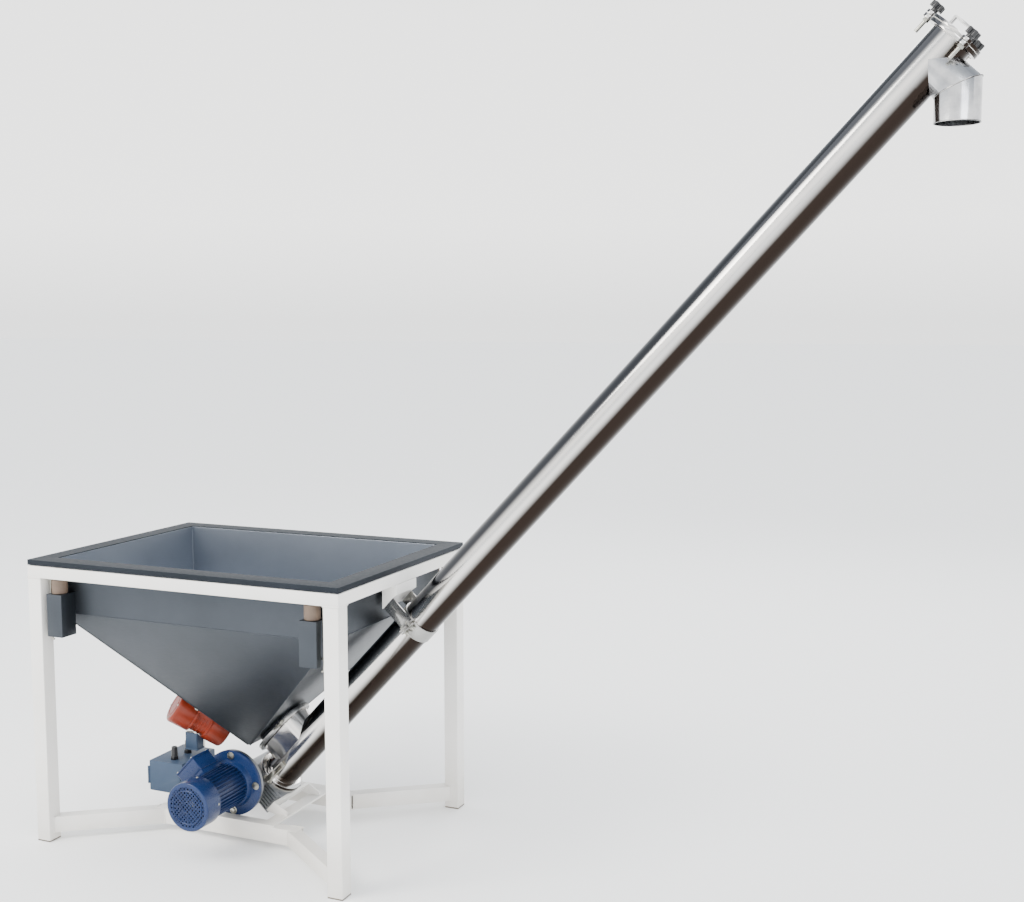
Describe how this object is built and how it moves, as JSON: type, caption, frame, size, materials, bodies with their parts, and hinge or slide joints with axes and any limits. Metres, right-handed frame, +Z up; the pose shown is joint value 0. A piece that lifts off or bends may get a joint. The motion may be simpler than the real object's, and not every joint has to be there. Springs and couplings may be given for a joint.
{
  "type": "inclined screw grain auger with feed hopper",
  "caption": "Feed hopper on a welded stand with an inclined screw tube, worm gearmotor at its foot, a vibrator on the hopper, and a down-turned spout with a removable cover at its head.",
  "frame": {"origin": "on the floor under the centre of the four legs", "axes": "+X the way the tube climbs, +Y to the rear away from the motor, +Z up"},
  "size_m": [2.7222, 0.806, 2.4248],
  "materials": {
    "frame_paint": "satin powder coat",
    "foot_plastic": "moulded matt",
    "hopper_steel": "pickled and lightly brushed sheet",
    "rim_steel": "ground sheet",
    "tube_steel": "polished drawn tube",
    "clamp_steel": "bright pressed sheet",
    "zinc_steel": "bright zinc plate",
    "shaft_steel": "turned",
    "gearbox_aluminium": "die cast, sand blasted",
    "motor_paint": "gloss enamel",
    "vibrator_paint": "gloss enamel",
    "box_paint": "fine texture coat",
    "black_plastic": "moulded",
    "buffer_rubber": "moulded tan",
    "seal_rubber": "white food grade",
    "bronze": "turned bronze",
    "copper_stack": "laminated core"
  },
  "bodies": {
    "stand": {"legs": "frame_paint", "foot_caps": "foot_plastic", "top_ring": "frame_paint", "centre_frame": "frame_paint", "diagonal_braces": "frame_paint", "gearbox_cradle": "frame_paint", "tube_bracket": "frame_paint", "clamp_saddle": "clamp_steel", "clamp_strap": "clamp_steel", "fasteners": "zinc_steel", "rim_gasket": "seal_rubber", "auger_tube": "tube_steel", "tube_flanges": "tube_steel", "spout": "tube_steel", "cover_gasket": "seal_rubber", "cover_studs": "zinc_steel", "foot_plate": "clamp_steel", "shaft_seal": "black_plastic", "inlet_seal": "seal_rubber", "inlet_band": "clamp_steel", "latch_brackets": "zinc_steel", "gearbox_housing": "gearbox_aluminium", "gearbox_cover": "gearbox_aluminium", "ball_bearings": "shaft_steel", "motor_body": "motor_paint", "motor_end_shields": "motor_paint", "motor_stator": "copper_stack", "fan_cowl": "motor_paint", "motor_terminal_box": "motor_paint", "terminal_lid": "motor_paint", "control_box": "box_paint", "control_box_bracket": "frame_paint", "control_box_glands": "black_plastic", "hanger_rods": "zinc_steel"},
    "hopper": {"hopper_shell": "hopper_steel", "outlet_spigot": "hopper_steel", "hopper_rim": "rim_steel", "corner_channels": "hopper_steel", "rubber_buffers": "buffer_rubber", "vibrator_body": "vibrator_paint", "vibrator_caps": "vibrator_paint", "vibrator_bearings": "shaft_steel", "vibrator_bolts": "zinc_steel", "vibrator_pad": "hopper_steel", "vibrator_connection_box": "box_paint"},
    "vibrator_rotor": {"vibrator_rotor": "shaft_steel"},
    "screw": {"screw_shaft": "shaft_steel", "screw_flight": "hopper_steel", "worm_wheel": "bronze"},
    "drive_rotor": {"worm_shaft": "shaft_steel", "motor_rotor": "shaft_steel", "cooling_fan": "black_plastic"},
    "end_cover": {"end_cover": "tube_steel", "head_bush": "bronze"},
    "cover_knob_1": {"cover_knob_1": "black_plastic"},
    "cover_knob_2": {"cover_knob_2": "black_plastic"},
    "cover_knob_3": {"cover_knob_3": "black_plastic"},
    "latch_front": {"latch_front": "zinc_steel"},
    "latch_rear": {"latch_rear": "zinc_steel"},
    "control_box_door": {"control_box_door": "box_paint"}
  },
  "joints": [
    {"name": "hopper_float", "type": "slide", "parent": "stand", "child": "hopper", "axis": [0, 0, 1], "range_m": [0, 0.002]},
    {"name": "vibrator_spin", "type": "hinge", "parent": "hopper", "child": "vibrator_rotor", "pos_m": [-0.19312, -0.036, 0.33415], "axis": [0.6095, 0.5736, -0.5473], "continuous": true},
    {"name": "screw_spin", "type": "hinge", "parent": "stand", "child": "screw", "pos_m": [0, 0, 0.0826], "axis": [0.682, 0, 0.7314], "continuous": true},
    {"name": "motor_spin", "type": "hinge", "parent": "stand", "child": "drive_rotor", "pos_m": [0.00507, 0, 0.18042], "axis": [0, -1, 0], "continuous": true},
    {"name": "cover_slide", "type": "slide", "parent": "stand", "child": "end_cover", "axis": [0.682, 0, 0.7314], "range_m": [0, 0.15]},
    {"name": "cover_knob_1_turn", "type": "hinge", "parent": "end_cover", "child": "cover_knob_1", "pos_m": [2.03717, 0, 2.38744], "axis": [0.682, 0, 0.7314], "continuous": true},
    {"name": "cover_knob_2_turn", "type": "hinge", "parent": "end_cover", "child": "cover_knob_2", "pos_m": [2.12713, -0.07101, 2.30355], "axis": [0.682, 0, 0.7314], "continuous": true},
    {"name": "cover_knob_3_turn", "type": "hinge", "parent": "end_cover", "child": "cover_knob_3", "pos_m": [2.12713, 0.07101, 2.30355], "axis": [0.682, 0, 0.7314], "continuous": true},
    {"name": "latch_front_swing", "type": "hinge", "parent": "stand", "child": "latch_front", "pos_m": [0.09139, -0.084, 0.1806], "axis": [0.7314, 0, -0.682], "range_deg": [0, 60]},
    {"name": "latch_rear_swing", "type": "hinge", "parent": "stand", "child": "latch_rear", "pos_m": [0.09139, 0.084, 0.1806], "axis": [-0.7314, 0, 0.682], "range_deg": [0, 60]},
    {"name": "box_door_swing", "type": "hinge", "parent": "stand", "child": "control_box_door", "pos_m": [-0.3162, -0.1518, 0.165], "axis": [0, 0, -1], "range_deg": [0, 110]}
  ],
  "couplings": [
    {"joint": "motor_spin", "follows": "screw_spin", "ratio": 15}
  ]
}
